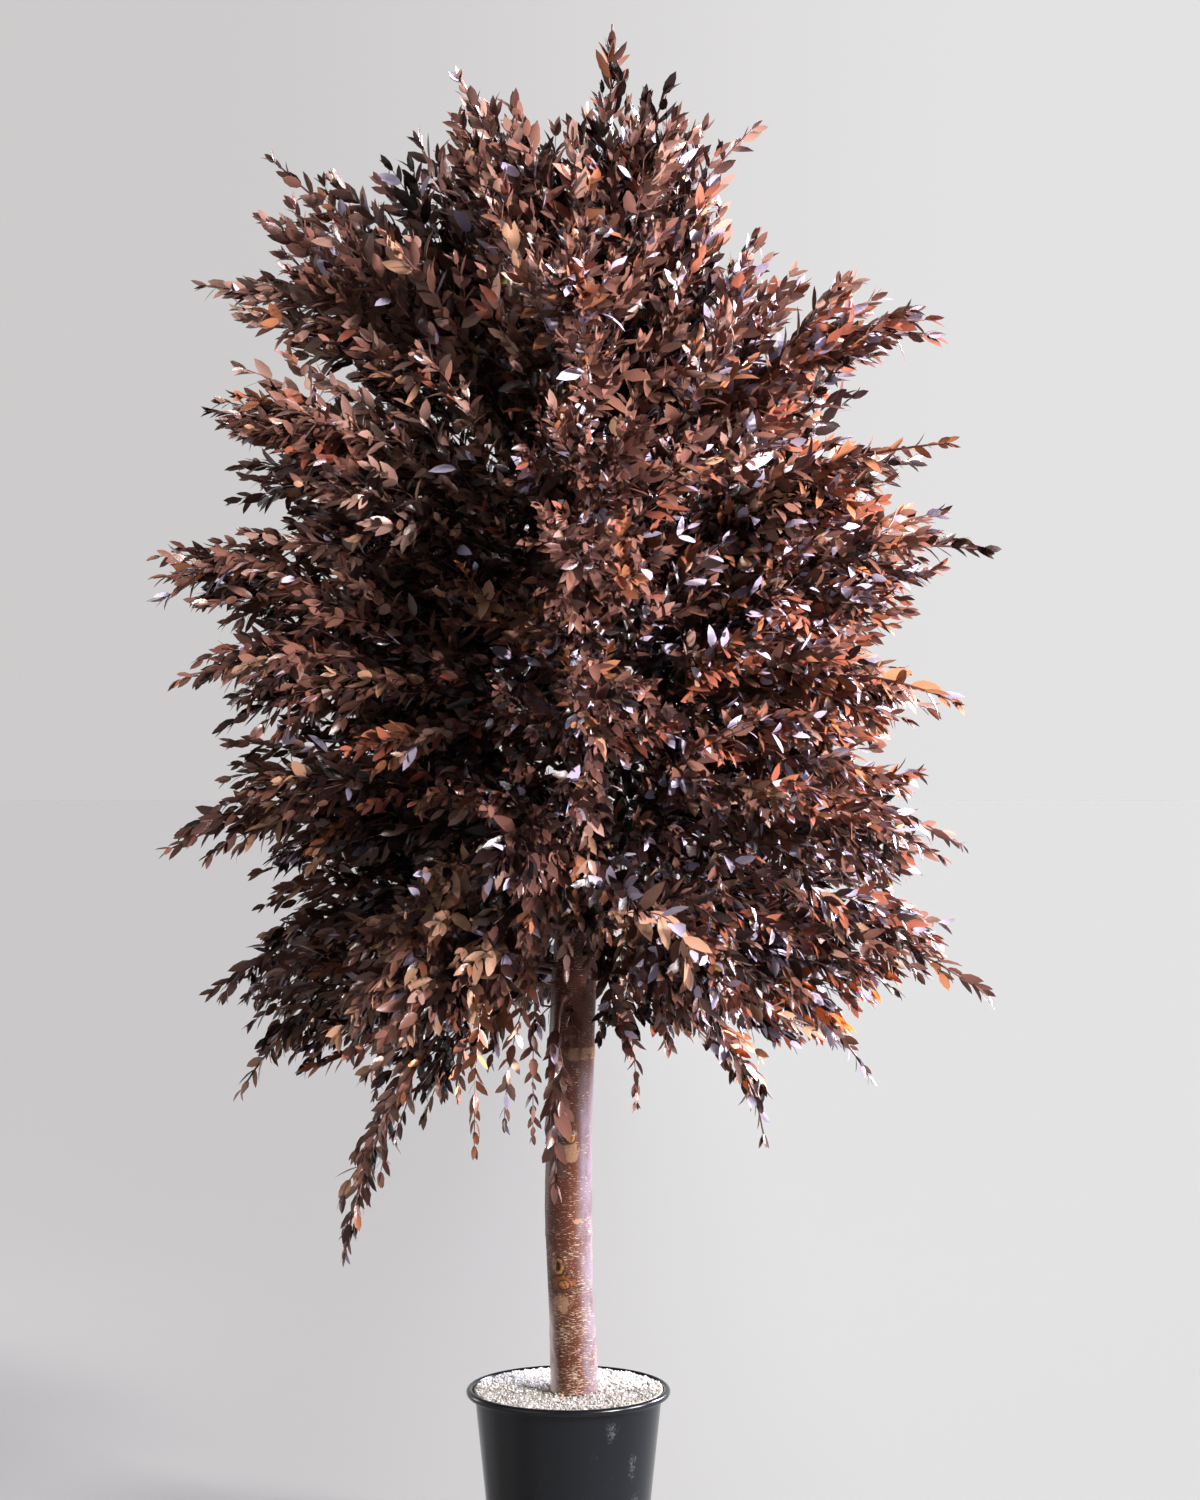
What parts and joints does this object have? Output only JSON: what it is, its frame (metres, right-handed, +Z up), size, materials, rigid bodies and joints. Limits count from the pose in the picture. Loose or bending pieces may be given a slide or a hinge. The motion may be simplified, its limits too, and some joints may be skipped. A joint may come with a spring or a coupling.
{
  "type": "potted standard tree",
  "caption": "Tall indoor tree with a bare birch pole and a loose oval crown of dry brown leafy sprays, set in gravel in a black bucket pot.",
  "frame": {"origin": "middle of the pot's flat underside, on the floor", "axes": "+Z up through the pot's middle, -Y towards the viewer in front, +X to the viewer's right"},
  "size_m": [1.1188, 0.962, 2.1373],
  "materials": {
    "pot": "glossy black, lightly scuffed",
    "gravel": "fine pale gravel",
    "bark": "satin red-brown bark with pale flecks",
    "twig": "dull dark red-brown",
    "leaf": "dyed dry leaves with a soft sheen"
  },
  "bodies": {
    "root": {"pot": "pot", "gravel": "gravel", "trunk": "bark", "upper_bough_1": "twig", "upper_bough_2": "twig", "upper_bough_3": "twig", "upper_bough_4": "twig", "upper_bough_5": "twig", "hanging_spray_1": "leaf", "hanging_spray_2": "leaf", "hanging_spray_3": "leaf", "hanging_spray_4": "leaf", "hem_spray_1": "leaf", "hem_spray_2": "leaf", "hem_spray_3": "leaf", "hem_spray_4": "leaf", "leader_spray": "leaf", "lower_spray_1": "leaf", "lower_spray_2": "leaf", "lower_spray_3": "leaf", "lower_spray_4": "leaf", "lower_spray_5": "leaf", "lower_spray_6": "leaf", "middle_spray_1": "leaf", "middle_spray_2": "leaf", "middle_spray_3": "leaf", "middle_spray_4": "leaf", "middle_spray_5": "leaf", "shoulder_spray_1": "leaf", "shoulder_spray_2": "leaf", "shoulder_spray_3": "leaf", "shoulder_spray_4": "leaf", "shoulder_spray_5": "leaf", "shoulder_spray_6": "leaf", "skirt_spray_1": "leaf", "skirt_spray_2": "leaf", "skirt_spray_3": "leaf", "skirt_spray_4": "leaf", "skirt_spray_5": "leaf", "skirt_spray_6": "leaf", "top_spray_1": "leaf", "top_spray_2": "leaf", "top_spray_3": "leaf", "top_spray_4": "leaf", "top_spray_5": "leaf", "top_spray_6": "leaf", "upper_spray_1": "leaf", "upper_spray_2": "leaf", "upper_spray_3": "leaf", "upper_spray_4": "leaf", "upper_spray_5": "leaf", "waist_spray_1": "leaf", "waist_spray_2": "leaf", "waist_spray_3": "leaf", "waist_spray_4": "leaf", "waist_spray_5": "leaf", "waist_spray_6": "leaf"}
  },
  "joints": []
}
